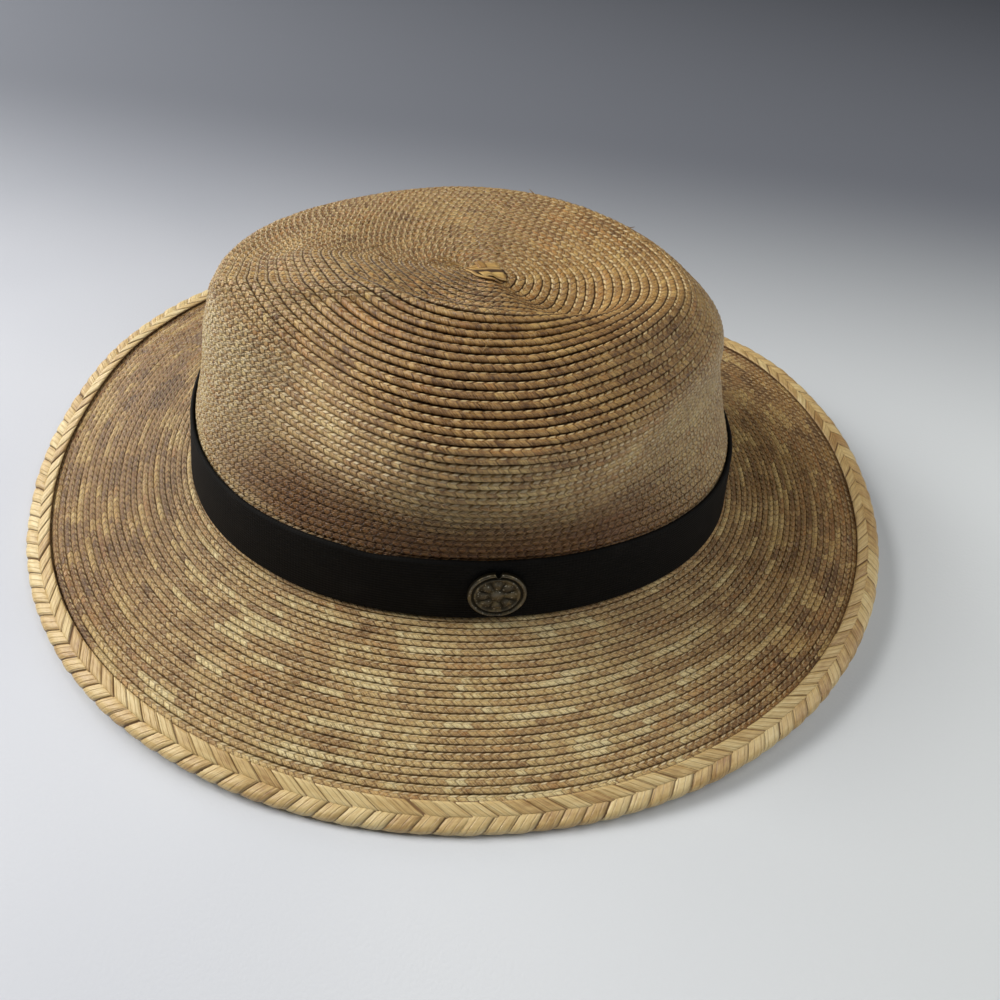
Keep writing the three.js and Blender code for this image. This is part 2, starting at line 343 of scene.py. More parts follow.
# Braid rounds from the tip: the crown down to the band, the wall behind the band, the brim
crown_rounds = 45
band_rounds = 9
brim_rounds = 28
rounds = crown_rounds + band_rounds + brim_rounds
steps_a_round = 4
steps_a_degree = 2
crown_samples = 420
compass = np.arange(-180, 180, 1 / steps_a_degree)

stops = [on_band_wall(compass, 1.0, 0.0)] + [on_section(row, compass) for row in crown_table]
stops = np.array(stops + [np.broadcast_to(crown_tip, (len(compass), 3))])
fine = np.linspace(0, len(stops) - 1, crown_samples)
crown_lines = smooth_curve(np.arange(len(stops), dtype=float), stops, fine)[::-1]
hops = np.linalg.norm(np.diff(crown_lines, axis=0), axis=2)
travel = np.concatenate([np.zeros((1, len(compass))), np.cumsum(hops, axis=0)])
shares = np.linspace(0, 1, crown_rounds * steps_a_round + 1)
crown_grid = np.empty((len(shares), len(compass), 3))
for i in range(len(compass)):
    for axis in range(3):
        crown_grid[:, i, axis] = np.interp(shares * travel[-1, i], travel[:, i], crown_lines[:, i, axis])
band_shares = np.linspace(1, 0, band_rounds * steps_a_round + 1)[1:]
band_grid = np.array([on_band_wall(compass, share, 0.0) for share in band_shares])
brim_counts = np.arange(1, brim_rounds * steps_a_round + 1) / steps_a_round
brim_widening = brim_end / brim_rounds - brim_first_row
brim_alongs = brim_counts * (brim_first_row + brim_widening * brim_counts / brim_rounds)
brim_grid = np.array([on_brim(compass, along, 0.0) for along in brim_alongs])
hat_grid = np.concatenate([crown_grid, band_grid, brim_grid])

# The wall turns out into the brim, and over the band's top, in a small round bend
bend_passes = 3
bend_reach = 3
bends = [crown_rounds * steps_a_round, (crown_rounds + band_rounds) * steps_a_round]
for _ in range(bend_passes):
    for bend in bends:
        low, high = bend - bend_reach, bend + bend_reach + 1
        hat_grid[low:high] = (
            hat_grid[low - 1:high - 1] + 2 * hat_grid[low:high] + hat_grid[low + 1:high + 1]
        ) / 4
hat_grid = hat_grid + hat_middle / mm


def face_normals(grid):
    """Outward directions of the grid. Its lines meet at the tip, which takes a nearby row's mean."""
    down_lines = np.gradient(grid, axis=0)
    round_lines = np.roll(grid, -1, axis=1) - np.roll(grid, 1, axis=1)
    normals = np.cross(down_lines, round_lines)
    normals[0] = normals[3].mean(axis=0)
    return normals / np.linalg.norm(normals, axis=2, keepdims=True)


def softly(value, low, high):
    """A smooth step from 0 at low to 1 at high."""
    t = np.clip((value - low) / (high - low), 0, 1)
    return t * t * (3 - 2 * t)


# The crown is pinched along a soft crease that crosses its front from corner to corner. Its
# line is given in rounds down from the tip, and it falls away to both sides.
crease_height = 1.5
crease_middle = 13.2
crease_bearing = -5
crease_fall_left = 0.0028
crease_fall_right = 0.0012
crease_fall = np.where(compass < crease_bearing, crease_fall_left, crease_fall_right)
crease_at = crease_middle + crease_fall * (compass - crease_bearing) ** 2
faint_right = 1 - 0.85 * softly(compass, -5, 35)
creased = softly(compass, -96, -70) * faint_right * (1 - softly(compass, 44, 70))
from_crease = np.arange(len(hat_grid))[:, None] / steps_a_round - crease_at
crease = np.exp(-(from_crease / 1.5) ** 2) - 0.8 * np.exp(-((from_crease + 4) / 2.2) ** 2)
hat_grid = hat_grid + face_normals(hat_grid) * (crease_height * creased * crease)[..., None]
hat_normals = face_normals(hat_grid)


def on_hat(bearing, down, above):
    """Points above the outer face, by bearing and by rounds counted down from the tip."""
    along = down * steps_a_round
    i = np.clip(np.floor(along).astype(int), 0, len(hat_grid) - 2)
    turn = (bearing + 180) % 360 * steps_a_degree
    j = np.floor(turn).astype(int) % len(compass)
    k = (j + 1) % len(compass)
    s = (along - i)[..., None]
    t = (turn - np.floor(turn))[..., None]

    def blend(grid):
        return (grid[i, j] * (1 - s) + grid[i + 1, j] * s) * (1 - t) + (
            grid[i, k] * (1 - s) + grid[i + 1, k] * s
        ) * t

    return blend(hat_grid) + blend(hat_normals) * above[..., None]


# The braid's own sizes: a leaf strip shows 2.8 mm long, leans as it crosses the braid, and is
# turned back over the braid's upper edge
strip_length = 2.8
strip_lean = 2.3
turned_lean = 3.6
turned_share = 0.37
braid_sink = 0.02
first_round = 0.4
last_round = rounds - 0.02
path_steps = 720

# Outline of one braid across its width, as shares of a round and heights above the wall's middle:
# plump and parted where the crown is pinched at the front, flatter and closer elsewhere
plump_outline = np.array([
    [-0.25, -0.50], [0.06, -0.25], [0.17, 0.35], [0.36, 0.80], [0.60, 1.00], [0.82, 0.82],
    [0.93, 0.30], [0.86, -0.15], [0.70, -0.88], [0.28, -0.95], [-0.12, -0.72],
])
flat_outline = np.array([
    [-0.22, 0.05], [0.05, 0.42], [0.13, 0.76], [0.38, 0.93], [0.68, 1.00], [0.93, 0.92],
    [1.03, 0.50], [0.95, 0.12], [0.72, -0.88], [0.28, -0.95], [-0.12, -0.70],
])
plump_relief = np.array([0, 0.04, 0.12, 0.08, 0.05, 0.06, 0.06, 0, 0, 0.08, 0.04])
flat_relief = np.array([0, 0.08, 0.23, 0.17, 0.20, 0.21, 0.13, 0, 0, 0.10, 0.05])
strip_edge = np.array([0, 0.03, 0.03, 0, 0, -0.01, -0.015, 0, 0, 0, 0])
top_points = np.array([0, 1, 1, 0.3, 0, 0, 0, 0, 0, 0, 0])
lip_points = np.array([0, 0, 0, 0, 0.2, 0.8, 1, 1, 0, 0, 0])
outline_points = len(plump_outline)

turns = np.arange(first_round, rounds, 1 / path_steps)
path = on_hat(turns * 360, turns + 0.5, 0 * turns)
lengths = np.concatenate([[0], np.cumsum(np.linalg.norm(np.diff(path, axis=0), axis=1))])
braid_length = np.interp(last_round - 0.5, turns, lengths)
strip_count = int(braid_length / strip_length)
crown_end = np.interp(crown_rounds, turns, lengths)
chance = np.random.default_rng(11)

# Each leaf strip starts under the one before it and rises to lie over the next
crown_profile = [(0.0, -1.0), (0.22, -0.15), (0.80, 0.45)]
brim_profile = [(0.0, -0.8), (0.6, 0.4)]
station_rows = []
for strip in range(strip_count):
    profile = crown_profile if strip * strip_length < crown_end else brim_profile
    station_rows += [(strip, offset, rise) for offset, rise in profile]
station_strip, station_offset, station_rise = np.array(station_rows).T
station_strip = station_strip.astype(int)
stations = (station_strip + station_offset) * strip_length


def wander(spacing, size):
    """A slow seeded wave along the braid."""
    knots = np.arange(-spacing, braid_length + 2 * spacing, spacing)
    return np.interp(stations, knots, chance.uniform(-size, size, len(knots)))


station_turns = np.interp(stations, lengths, turns)
station_bearing = (station_turns * 360 + 180) % 360 - 180
pinch_left = softly(station_bearing, -66, -28)
pinch_right = 1 - softly(station_bearing, 24, 62)
crease_turn = np.interp(station_bearing, compass, crease_at)
below_crease = softly(station_turns - crease_turn, -1, 1.5) * (1 - 0.75 * softly(station_turns, 31, 41))
pinched = pinch_left * pinch_right * below_crease * (station_turns < crown_rounds)
on_the_brim = softly(station_turns, crown_rounds + band_rounds, crown_rounds + band_rounds + 1)
brim_front = softly(station_bearing, -50, -10) * (1 - softly(station_bearing, 50, 90))
plumpness = np.clip(0.06 + 0.9 * pinched + 0.2 * on_the_brim * brim_front + wander(14, 0.10), 0, 1)
lift_wave = wander(11, 0.05) + wander(2.8, 0.025)
drift_wave = wander(13, 0.03)
top_wave = wander(2.8, 0.03)
lip_wave = wander(4.2, 0.035) + wander(1.4, 0.015)
notch_chance = 0.03
notch_depth = 0.07
notched = chance.uniform(0, 1, len(stations)) < notch_chance
lip_wave = lip_wave - notch_depth * notched

outline = plump_outline * plumpness[:, None, None] + flat_outline * (1 - plumpness[:, None, None])
relief = plump_relief * plumpness[:, None] + flat_relief * (1 - plumpness[:, None])
relief = relief * (1 - 0.45 * on_the_brim[:, None])
in_groove = (station_offset == 0)[:, None]
strip_jitter = chance.normal(0, 0.035, strip_count)[station_strip][:, None] * (outline[..., 1] > 0)
down_share = outline[..., 0] + np.where(in_groove, strip_edge, -strip_edge) + drift_wave[:, None]
down_share = down_share + top_wave[:, None] * top_points + lip_wave[:, None] * lip_points
height = outline[..., 1] + relief * station_rise[:, None] + lift_wave[:, None] + strip_jitter
past_turn = outline[..., 0] - turned_share
leaning = stations[:, None] + np.where(past_turn > 0, strip_lean * past_turn, -turned_lean * past_turn)
lean_turns = np.interp(leaning, lengths, turns)
braid_above = height - straw_wall / 2 - braid_sink
braid_points = on_hat(lean_turns * 360, lean_turns + down_share, braid_above) * mm

# Leaf colour: strips come in short runs of one tint, and neighbouring rounds share some of it
run_length = chance.integers(2, 8, strip_count)
run_of = np.repeat(np.arange(strip_count), run_length)[:strip_count]
run_tint = chance.uniform(0, 1, strip_count)[run_of]
strip_turns = np.interp((np.arange(strip_count) + 0.5) * strip_length, lengths, turns)
strip_bearing = (strip_turns * 360) % 360
patch_rows = 40
patch_columns = 72
patch_values = chance.uniform(0, 1, (patch_rows, patch_columns))
patch_row = np.clip(strip_turns / 2.4, 0, patch_rows - 2).astype(int)
patch_column = ((strip_bearing / 5 + patch_row * 2.3) % patch_columns).astype(int)
patch_tint = patch_values[patch_row, patch_column]
strip_on_brim = softly(strip_turns, crown_rounds + band_rounds - 4, crown_rounds + band_rounds + 3)
mixed = 0.62 * run_tint + 0.38 * patch_tint
pale = softly(mixed, 0.64, 0.74)
brown = 1 - softly(mixed, 0.26, 0.46)
strip_tint = 0.50 + (0.30 * pale - 0.18 * brown) * (0.35 + 0.65 * strip_on_brim)
strip_tint = np.clip(strip_tint + chance.normal(0, 0.05, strip_count), 0, 1)
run_seed = chance.uniform(0, 1, strip_count)[run_of]
strip_seed = 0.8 * run_seed + 0.2 * chance.uniform(0, 1, strip_count)


def new_piece(name, points, faces, finish, uvs):
    """A mesh piece from arrays: points in metres, and faces as lists of rings. Each UV map has
    one pair of numbers for every corner of every face."""
    mesh = bpy.data.meshes.new(name)
    counts = np.concatenate([np.full(len(f), f.shape[1]) for f in faces])
    corners = np.concatenate([f.reshape(-1) for f in faces])
    mesh.vertices.add(len(points))
    mesh.vertices.foreach_set("co", points.astype(np.float32).reshape(-1))
    mesh.loops.add(len(corners))
    mesh.loops.foreach_set("vertex_index", corners.astype(np.int32))
    mesh.polygons.add(len(counts))
    starts = np.concatenate([[0], np.cumsum(counts)[:-1]])
    mesh.polygons.foreach_set("loop_start", starts.astype(np.int32))
    mesh.polygons.foreach_set("use_smooth", np.ones(len(counts), dtype=bool))
    for uv_name, values in uvs.items():
        layer = mesh.uv_layers.new(name=uv_name)
        layer.data.foreach_set("uv", np.concatenate(values).astype(np.float32).reshape(-1))
    mesh.update(calc_edges=True)
    mesh.validate()
    mesh.materials.append(finish)
    piece = bpy.data.objects.new(name, mesh)
    bpy.context.scene.collection.objects.link(piece)
    return piece


straw = Finish("palm_braid")
hat_place = straw.object_place()
count, across, _ = straw.parts(straw.uv("Braid"))
tint, seed, _ = straw.parts(straw.uv("Strip"))
flat_lay = 1 - straw.parts(straw.uv("Pinch"))[0].between(0.15, 0.75)
in_strip = count.maths("FRACT")
strip_side = (in_strip - 0.5).maths("ABSOLUTE")
one_number = {"noise_dimensions": "1D"}
strip_number = straw.node("ShaderNodeTexWhiteNoise", one_number, {"W": count.maths("FLOOR")})

# Fibres run along each strip, with flecks, and stains that pass over many strips
fibre = straw.noise(straw.place(count * 6, across * 0.9, seed * 40), 1.0, 3, 0.7).between(0.28, 0.72)
fleck = straw.noise(straw.place(count * 2.2, across * 3.5, seed * 9), 1.0, 4, 0.65).between(0.25, 0.75)
weathering = straw.noise(hat_place, 26, 4, 0.65).between(0.28, 0.72)

# The crown's top and the brim's sides are browned, and the near brim is paler; the left wall is paler as
# painted light, where the window lights it
to_right, to_back, height_up = straw.parts(hat_place)
to_left = 0 - to_right
to_near = 0 - to_back
off_middle = to_right.maths("ABSOLUTE")
on_crown = height_up.between(0.034, 0.05)
crown_top_share = height_up.between(0.080, 0.098)
brim_side = off_middle.between(0.07, 0.13) * (1 - height_up.between(0.03, 0.045))
brim_near = to_near.between(0.06, 0.12) * (1 - off_middle.between(0.05, 0.10))
# Painted light: the left wall, which faces the window, is made paler
painted_left_light = to_left.between(0.045, 0.085) * height_up.between(0.045, 0.06) * (1 - crown_top_share)
plain_rows = crown_top_share * to_right.between(-0.015, 0.03)
# Painted shade: the crown's front just above the band is darkened and browned, where the wall overhangs and
# gets little light
painted_foot_shade = (1 - height_up.between(0.056, 0.080)) * height_up.between(0.040, 0.050)
painted_foot_shade = painted_foot_shade * to_near.between(0.02, 0.07)
leaf_tone = tint + (fibre - 0.5) * 0.34 + (fleck - 0.5) * 0.26 + (weathering - 0.5) * 0.20
leaf_tone = leaf_tone + (strip_number - 0.5) * 0.09 + brim_near * 0.08
leaf_tone = leaf_tone - crown_top_share * 0.16 - brim_side * 0.17 + painted_left_light * 0.13
leaf_stops = [
    (0.02, (0.120, 0.058, 0.019)),
    (0.28, (0.330, 0.190, 0.074)),
    (0.52, (0.530, 0.350, 0.145)),
    (0.74, (0.680, 0.510, 0.225)),
    (0.96, (0.830, 0.700, 0.380)),
]
orange_leaf = (0.50, 0.235, 0.07, 1)
turned_edge_highlight = (0.84, 0.72, 0.47, 1)
cell_light_colour = (0.86, 0.73, 0.46, 1)
cell_shade_colour = (0.120, 0.058, 0.020, 1)
crown_top_tan = (0.97, 0.91, 0.76, 1)
brim_side_tan = (0.84, 0.76, 0.62, 1)
turn_shadow_colour = (0.16, 0.078, 0.032, 1)
hairline_brown = (0.130, 0.060, 0.020, 1)
strip_line_brown = (0.090, 0.040, 0.013, 1)
row_gap_shade = (0.040, 0.017, 0.006, 1)
foot_shade_brown = (0.27, 0.135, 0.035, 1)
leaf_colour = straw.node("ShaderNodeValToRGB", {"stops": leaf_stops}, {"Fac": leaf_tone})
leaf_colour = straw.mix(seed.between(0.80, 0.90) * 0.35, leaf_colour, orange_leaf)

# The strip is turned back over the braid's upper edge, with a painted highlight along it as a pale glint
turned_edge = (1 - across.between(0.26, 0.34)) * across.between(0.06, 0.14)
glint = turned_edge * in_strip.between(0.20, 0.34) * (1 - in_strip.between(0.74, 0.90))
leaf_colour = straw.mix(glint * (0.35 + strip_number * 0.60), leaf_colour, turned_edge_highlight)

# Where the braid lies flat its strips cross in small cells, with a painted highlight on one side and a
# painted shade line on the other
crossing = (count + across * 1.7 + fleck * 0.16).maths("FRACT")
woven = flat_lay * (0.35 + on_crown * 0.65) * across.between(0.10, 0.2) * (1 - plain_rows * 0.75)
painted_cell_shade = (crossing - 0.5).maths("ABSOLUTE").between(0.38, 0.48) * woven * (0.35 + fleck * 0.65)
painted_cell_light = crossing.between(0.06, 0.16) * (1 - crossing.between(0.26, 0.40))
painted_cell_light = painted_cell_light * woven * (1 - fleck * 0.45)
leaf_colour = straw.mix(painted_cell_light * 0.74, leaf_colour, cell_light_colour)
leaf_colour = straw.mix(painted_cell_shade * 0.80, leaf_colour, cell_shade_colour)
leaf_colour = straw.mix(crown_top_share, leaf_colour, crown_top_tan, "MULTIPLY")
leaf_colour = straw.mix(brim_side, leaf_colour, brim_side_tan, "MULTIPLY")

# Dark lines: painted shadow under the turned edge, fibre lines along the strips, dark lines between strips,
# and painted shade between rows
painted_turn_shadow = across.between(0.26, 0.33) * (1 - across.between(0.33, 0.42)) * in_strip.between(0.1, 0.4)
leaf_colour = straw.mix(painted_turn_shadow * 0.45, leaf_colour, turn_shadow_colour)
hairline = (1 - fibre.between(0.06, 0.26)) * (1 - turned_edge * 0.6)
leaf_colour = straw.mix(hairline * 0.55, leaf_colour, hairline_brown)
strip_line = strip_side.between(0.40 - flat_lay * 0.06, 0.475) * (0.30 + strip_number * 0.60)
leaf_colour = straw.mix(strip_line * 0.75, leaf_colour, strip_line_brown)
# Painted shade fills the gaps between rows, darker on the crown
upper_shade = 1 - across.between(0.00, 0.10 + fleck * 0.12)
edge_shade = upper_shade.maths("MAXIMUM", across.between(0.86, 1.0))
leaf_colour = straw.mix(edge_shade * (0.62 + on_crown * 0.30), leaf_colour, row_gap_shade)
leaf_colour = straw.mix(painted_foot_shade * 0.9, leaf_colour, foot_shade_brown, "MULTIPLY")

strip_tilt = (in_strip - 0.5) * (strip_number - 0.5) * 2.2
straw_height = fibre * 0.35 + (1 - strip_line) * 0.6 + glint * 0.35 - painted_turn_shadow * 0.25
straw_height = straw_height + fleck * 0.2 + strip_tilt + painted_cell_light * 0.8 - painted_cell_shade * 1.0
straw_bump = straw.bump(0.9, 0.0004, straw_height)
gloss = straw.noise(hat_place, 55).between(0.42, 0.62)
straw_rough = 0.32 + fleck * 0.16 - gloss * 0.14 + edge_shade * 0.3
palm_braid = straw.surface(
    {"Base Color": leaf_colour, "Roughness": straw_rough, "Specular IOR Level": 0.55}, straw_bump
)

# Stretches of the braid, so that each piece stays a workable mesh
braid_stretches = {
    "crown_top": (0, 26),
    "crown_side": (26, 36),
    "crown_wall": (36, 44),
    "crown_foot": (44, 56),
    "brim_inner": (56, 70),
    "brim_outer": (70, rounds),
}
for name, (first, last) in braid_stretches.items():
    chosen = np.where((station_turns >= first) & (station_turns < last))[0]
    low = chosen[0]
    high = min(chosen[-1] + 1, len(stations) - 1)
    points = braid_points[low:high + 1].reshape(-1, 3)
    i, j = np.indices((high - low, outline_points)).reshape(2, -1)
    k = (j + 1) % outline_points
    here, ahead = i * outline_points, (i + 1) * outline_points
    sides = np.stack([here + j, here + k, ahead + k, ahead + j], -1)
    ring = np.arange(outline_points)
    ends = np.stack([ring[::-1], (high - low) * outline_points + ring])
    station = low + i
    spot = stations[station] / strip_length
    next_spot = stations[station + 1] / strip_length
    braid_map = np.stack([
        np.stack([spot, outline[station, j, 0]], -1),
        np.stack([spot, outline[station, k, 0]], -1),
        np.stack([next_spot, outline[station + 1, k, 0]], -1),
        np.stack([next_spot, outline[station + 1, j, 0]], -1),
    ], 1)
    strip = station_strip[station]
    strip_map = np.repeat(np.stack([strip_tint[strip], strip_seed[strip]], -1), 4, axis=0)
    pinch_map = np.repeat(np.stack([plumpness[station], 0 * spot], -1), 4, axis=0)
    end_map = np.zeros((2 * outline_points, 2))
    piece = new_piece(
        name, points, [sides, ends], palm_braid,
        {
            "Braid": [braid_map.reshape(-1, 2), end_map],
            "Strip": [strip_map, end_map],
            "Pinch": [pinch_map, end_map],
        },
    )
    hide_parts("straw_body")
    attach(piece, "root")

# Plait over the rim: wide pale leaf strips folded over the edge and laced in a herringbone,
# over a plain folded core that shows only as the dark line between the strips; its dark brown is painted
# shade.
strip_pitch = 7.0
plait_reach = 9
core_half = 1.9
rim_round = 2.2
core_round = rim_round - 0.25

# The core's outline across the rim, from its inner top line over the edge to its inner lower line
fold_angles = np.linspace(math.pi / 2, -math.pi / 2, 17)
core_fold = -rim_round + core_round * np.cos(fold_angles)
core_out = np.concatenate([[-plait_reach], core_fold, [-plait_reach]])
core_up = np.concatenate([[core_half], core_half * np.sin(fold_angles), [-core_half]])
over_rim = np.concatenate([[0], np.cumsum(np.hypot(np.diff(core_out), np.diff(core_up)))])
over_total = over_rim[-1]
fold_at = over_total / 2
core_normals = np.stack([np.gradient(core_up, over_rim) * -1, np.gradient(core_out, over_rim)], -1)
core_normals /= np.linalg.norm(core_normals, axis=1, keepdims=True)


def on_rim(bearing, over, raised):
    """Points of the plait: by bearing, by distance over the rim, and raised off its core."""
    out = np.interp(over, over_rim, core_out) + raised * np.interp(over, over_rim, core_normals[:, 0])
    up = np.interp(over, over_rim, core_up) + raised * np.interp(over, over_rim, core_normals[:, 1])
    along = (brim_width + out).reshape(-1)
    points = on_brim(bearing.reshape(-1), along, (up - straw_wall / 2).reshape(-1))
    return (points.reshape(bearing.shape + (3,)) + hat_middle / mm) * mm


# Bearings at equal steps of length round the rim
around = np.arange(-180, 180.01, 0.25)
rim_line = on_brim(around, np.full(around.shape, brim_width - 2.0), np.zeros(around.shape))
rim_travel = np.concatenate([[0], np.cumsum(np.linalg.norm(np.diff(rim_line, axis=0), axis=1))])
strips_round = int(round(rim_travel[-1] / strip_pitch))
pitch = rim_travel[-1] / strips_round


def rim_bearing(travel_mm):
    return np.interp(travel_mm % rim_travel[-1], rim_travel, around)


def plait_strips(name, first_over, last_over, lean, rows, lift_first, lift_last, seed_number):
    """One column of the plait: leaning leaf strips, plump across, each lapping over its neighbour."""
    columns = 6
    leaf_foot = 0.45
    chance = np.random.default_rng(seed_number)
    which = np.arange(strips_round)[:, None, None]
    along = np.linspace(0, 1, rows)[None, :, None]
    side = np.linspace(-1, 1, columns)[None, None, :]
    wide = chance.uniform(0.50, 0.60, (strips_round, 1, 1))
    offset = chance.normal(0, 0.25, (strips_round, 1, 1))
    over = first_over + (last_over - first_over) * along + 0 * side + 0 * which
    over = over + chance.normal(0, 0.12, (strips_round, 1, 1))
    travel_mm = (which + 0.5 + wide * side) * pitch + offset + lean * (over - fold_at)
    plump = np.sqrt(np.maximum(1 - side ** 2, 0)) * chance.uniform(0.34, 0.55, (strips_round, 1, 1))
    from_first = (along + 0.02) / 0.16 + lift_first
    from_last = (1.02 - along) / 0.16 + lift_last
    tuck = np.minimum(1, np.minimum(from_first, from_last))
    raised = -0.15 + (0.16 + plump + 0.16 * side) * tuck
    bearing = rim_bearing(travel_mm)
    top = on_rim(bearing, over, raised)
    bottom = on_rim(bearing, over, raised * 0 - leaf_foot)
    points = np.concatenate([top.reshape(strips_round, -1, 3), bottom.reshape(strips_round, -1, 3)], 1)
    per_face = rows * columns
    i, j = np.indices((rows - 1, columns - 1))
    a = (i * columns + j).reshape(-1)
    upper = np.stack([a, a + columns, a + columns + 1, a + 1], -1)
    lower = upper[:, ::-1] + per_face
    rim = np.concatenate([
        np.arange(columns - 1),
        columns - 1 + columns * np.arange(rows - 1),
        (rows - 1) * columns + np.arange(columns - 1, 0, -1),
        columns * np.arange(rows - 1, 0, -1),
    ])
    rim_next = np.roll(rim, -1)
    wall = np.stack([rim, rim_next, rim_next + per_face, rim + per_face], -1)
    faces_one = np.concatenate([upper, lower, wall])
    faces = (faces_one[None] + (np.arange(strips_round) * 2 * per_face)[:, None, None]).reshape(-1, 4)
    side_uv = np.broadcast_to((side + 1) / 2, (1, rows, columns)).reshape(-1)
    over_uv = np.broadcast_to(over[:, :, :1], over.shape).reshape(strips_round, -1)
    one_side = np.concatenate([side_uv, side_uv])[faces_one]
    one_over = np.concatenate([over_uv, over_uv], 1)[:, faces_one]
    leaf_map = np.stack([np.broadcast_to(one_side, one_over.shape), one_over], -1).reshape(-1, 2)
    tints = chance.uniform(0, 1, strips_round)
    seeds = chance.uniform(0, 1, strips_round)
    strip_map = np.repeat(np.stack([tints, seeds], -1), len(faces_one) * 4, axis=0)
    uvs = {"Leaf": [leaf_map], "Strip": [strip_map]}
    piece = new_piece(name, points.reshape(-1, 3), [faces], pale_leaf, uvs)
    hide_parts("edge_braid")
    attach(piece, "root")


pale_edge_brown = (0.13, 0.062, 0.02, 1)
pale_fold_brown = (0.24, 0.125, 0.045, 1)
pale_stops = [
    (0.02, (0.360, 0.205, 0.075)),
    (0.35, (0.590, 0.415, 0.175)),
    (0.65, (0.710, 0.560, 0.275)),
    (0.95, (0.810, 0.700, 0.420)),
]
pale = Finish("pale_leaf")
rim_place = pale.object_place()
leaf_side, leaf_over, _ = pale.parts(pale.uv("Leaf"))
leaf_tint, leaf_seed, _ = pale.parts(pale.uv("Strip"))
fibre_place = pale.place(leaf_side * 12, leaf_over * 0.3, leaf_seed * 60)
leaf_fibre = pale.noise(fibre_place, 1.0, 3, 0.6).between(0.28, 0.72)
leaf_stain = pale.noise(pale.place(leaf_side * 1.2, leaf_over * 0.7, leaf_seed * 30), 1.0, 3, 0.6)
rim_wear = pale.noise(rim_place, 30, 3, 0.6)
pale_tone = leaf_tint * 0.45 + (leaf_fibre - 0.5) * 0.30 + (leaf_stain - 0.5) * 0.5
pale_tone = pale_tone + (rim_wear - 0.5) * 0.4 + 0.24
# Painted shade: the rim's right side, away from the window, is darker
pale_tone = pale_tone - pale.parts(rim_place)[0].between(0.09, 0.15) * 0.10
pale_colour = pale.node("ShaderNodeValToRGB", {"stops": pale_stops}, {"Fac": pale_tone})
leaf_edge = (leaf_side - 0.5).maths("ABSOLUTE").between(0.40, 0.5)
pale_colour = pale.mix(leaf_edge * 0.8, pale_colour, pale_edge_brown)
leaf_fold = ((leaf_side * 3 + leaf_seed).maths("FRACT") - 0.5).maths("ABSOLUTE").between(0.40, 0.5)
pale_colour = pale.mix(leaf_fold * 0.45, pale_colour, pale_fold_brown)
pale_bump = pale.bump(0.6, 0.0003, leaf_fibre * 0.5 + leaf_stain * 0.4 - leaf_fold * 0.8)
pale_leaf = pale.surface(
    {"Base Color": pale_colour, "Roughness": 0.3 + leaf_stain * 0.25, "Specular IOR Level": 0.6}, pale_bump
)

middle_line = 3.9
plait_strips("plait_edge", middle_line - 0.5, over_total - middle_line + 0.5, -0.8, 16, 0.0, 0.0, 3)
plait_strips("plait_top", 0.0, middle_line + 0.6, 1.5, 7, 0.5, 0.0, 4)
plait_strips("plait_under", over_total - middle_line - 0.6, over_total, 1.5, 7, 0.0, 0.5, 5)

core_rounds = 300
core_bearing = rim_bearing(np.arange(core_rounds) / core_rounds * rim_travel[-1])
inside_out = np.array([-plait_reach, -1.5, -1.5, -plait_reach])
inside_up = np.array([-1.25, -1.25, 1.25, 1.25])
ring_out = np.concatenate([core_out, inside_out])
ring_up = np.concatenate([core_up, inside_up])
ring_count = len(ring_out)
core_rings = []
for out, up in zip(ring_out, ring_up):
    along = np.full(core_rounds, brim_width + out)
    core_rings.append(on_brim(core_bearing, along, np.full(core_rounds, up - straw_wall / 2)))
core_points = (np.stack(core_rings, 1) + hat_middle / mm).reshape(-1, 3) * mm
i, j = np.indices((core_rounds, ring_count)).reshape(2, -1)
after = (i + 1) % core_rounds
k = (j + 1) % ring_count
core_faces = np.stack([
    i * ring_count + j, i * ring_count + k, after * ring_count + k, after * ring_count + j
], -1)
# The core's dark brown is painted shade for the gaps between the plait's strips
lining = Finish("plait_core")
core_noise = lining.noise(lining.object_place(), 400, 3)
core_shade_colour = lining.mix(core_noise, (0.10, 0.052, 0.020, 1), (0.22, 0.125, 0.05, 1))
core_finish = lining.surface({"Base Color": core_shade_colour, "Roughness": 0.8})
core = new_piece("plait_core", core_points, [core_faces], core_finish, {})
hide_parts("edge_braid")
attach(core, "root")

# Loose ends: flat leaf ends tucked over the start of the braid at the crown's tip, and single
# fibres that have sprung out of the braid here and there.
row_step = 2.6
tip_row_side = 3.1
tip_row_front = 2.7
ribbon_steps = 13
ribbon_foot = 0.22
curl_count = 5
fibre_count = 46
fibres_on_crown = 30
fibre_steps = 7
fibre_half = 0.07
wall_reach = 90.0
chance = np.random.default_rng(31)
ribbons = []


def from_tip(right, back):
    """Bearing and rounds down of a place near the tip, given in millimetres to the right and back."""
    rounds_down = np.hypot(right / tip_row_side, back / tip_row_front)
    return np.degrees(np.arctan2(right, -back)), rounds_down


def tip_ribbon(places, half_width, above):
    """A strip of leaf along a line of places, a little raised in its middle."""
    places = np.array(places, dtype=float)
    knots = np.linspace(0, 1, len(places))
    at = np.linspace(0, 1, ribbon_steps)
    centre = np.stack([np.interp(at, knots, places[:, axis]) for axis in (0, 1)], -1)
    centre[1:-1] = (centre[:-2] + 2 * centre[1:-1] + centre[2:]) / 4
    heading = np.gradient(centre, axis=0)
    heading /= np.linalg.norm(heading, axis=1, keepdims=True)
    aside = np.stack([-heading[:, 1], heading[:, 0]], -1) * half_width
    rise = above + 0.25 * np.sin(at * math.pi)
    edges = []
    for side, lift in ((-1, 0), (-0.4, 0.12), (0.4, 0.12), (1, 0)):
        bearing, down = from_tip(*(centre + aside * side).T)
        edges.append(on_hat(bearing, down, rise + lift))
    ribbons.append(np.stack(edges, 1))
